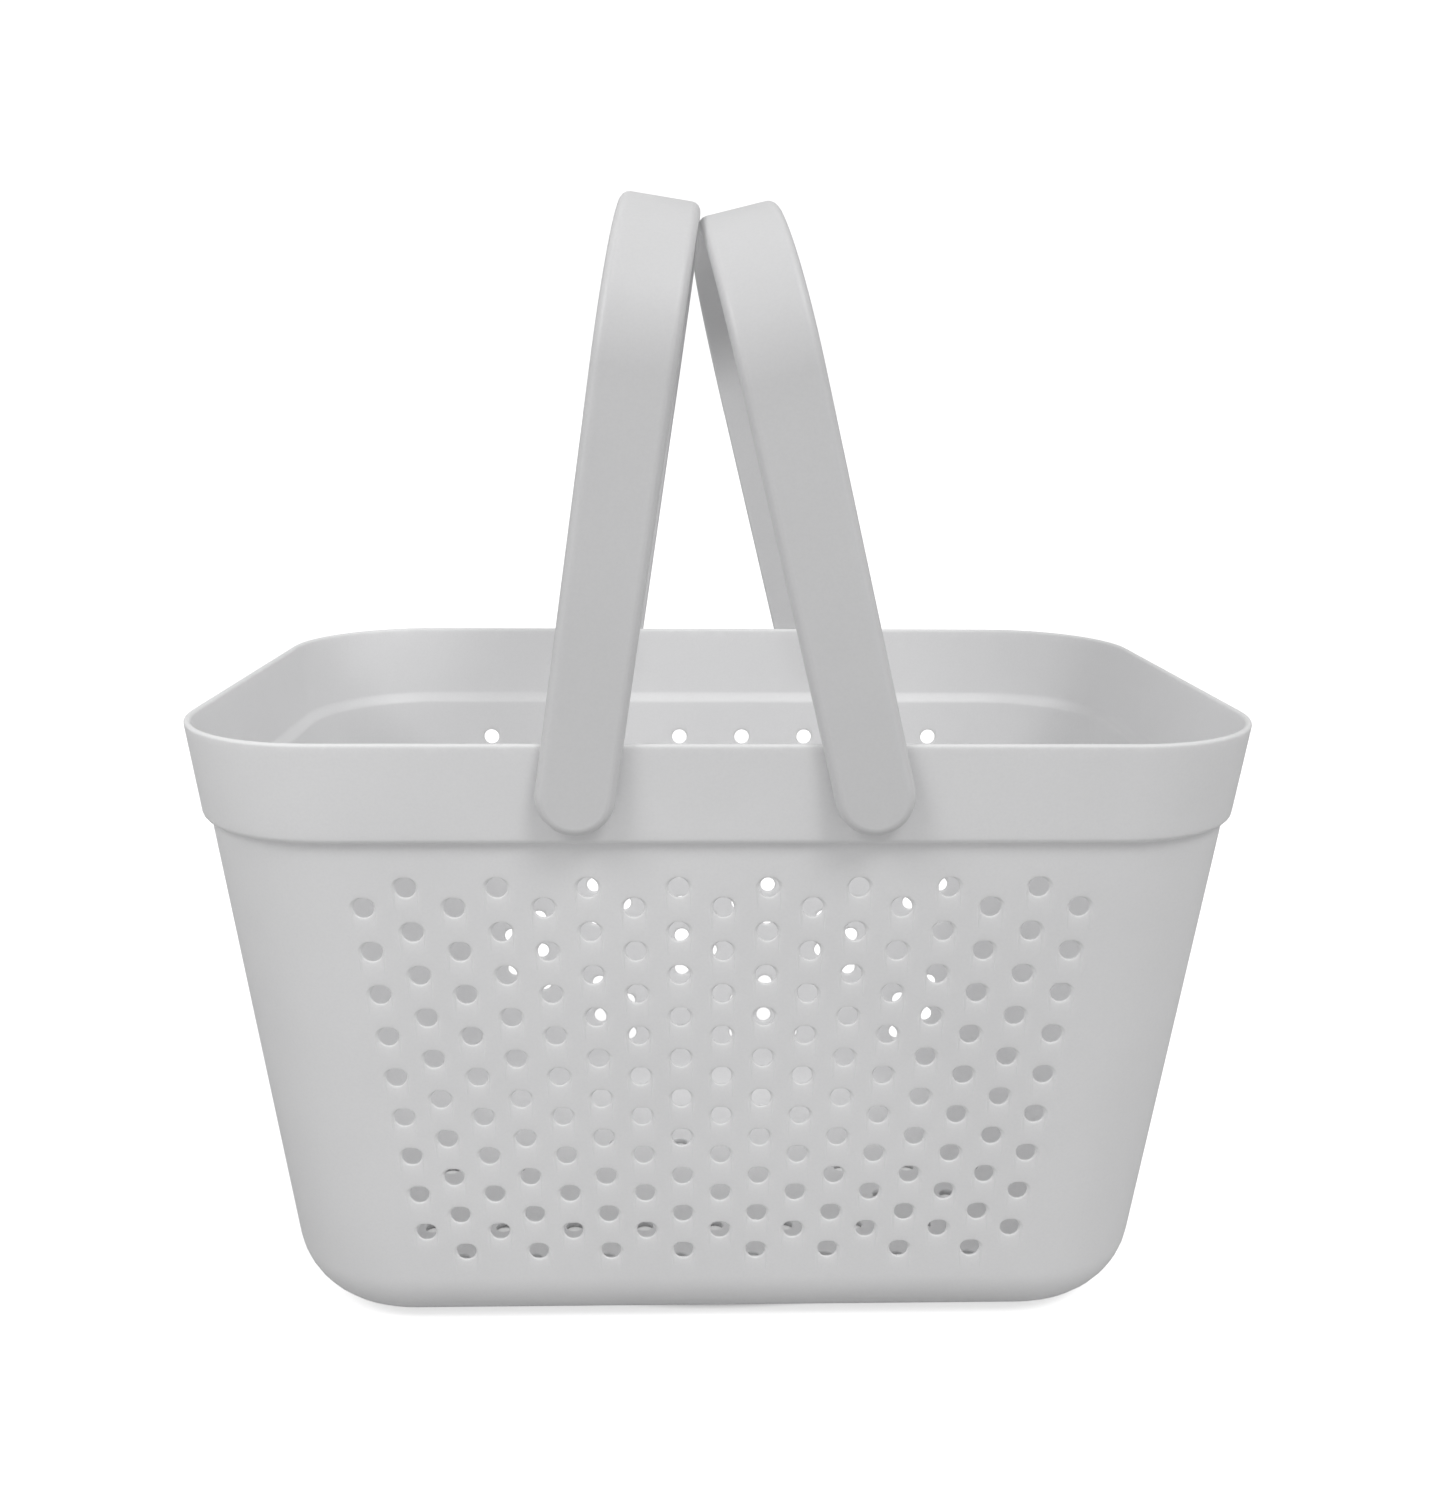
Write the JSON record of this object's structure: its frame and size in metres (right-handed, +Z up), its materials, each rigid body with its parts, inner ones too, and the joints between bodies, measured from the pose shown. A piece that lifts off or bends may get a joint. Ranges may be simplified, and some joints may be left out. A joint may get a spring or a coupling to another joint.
{
  "type": "shower caddy",
  "caption": "Perforated plastic tub with a stepped-out collar and two hinged U-shaped strap handles that fold down past the ends.",
  "frame": {"origin": "centre of the underside of the tub", "axes": "+Z up, +X along the tub's long side, towards the right handle's pivot, +Y from the front long wall to the back one"},
  "size_m": [0.2898, 0.1948, 0.3168],
  "materials": {
    "tub_plastic": "satin",
    "handle_plastic": "satin"
  },
  "bodies": {
    "basket": {"basket": "tub_plastic"},
    "left_handle": {"left_handle": "handle_plastic"},
    "right_handle": {"right_handle": "handle_plastic"}
  },
  "joints": [
    {"name": "left_handle_swing", "type": "hinge", "parent": "basket", "child": "left_handle", "pos_m": [-0.0374, 0, 0.1705], "axis": [0, -1, 0], "range_deg": [0, 140]},
    {"name": "right_handle_swing", "type": "hinge", "parent": "basket", "child": "right_handle", "pos_m": [0.0374, 0, 0.1705], "axis": [0, 1, 0], "range_deg": [0, 145]}
  ]
}
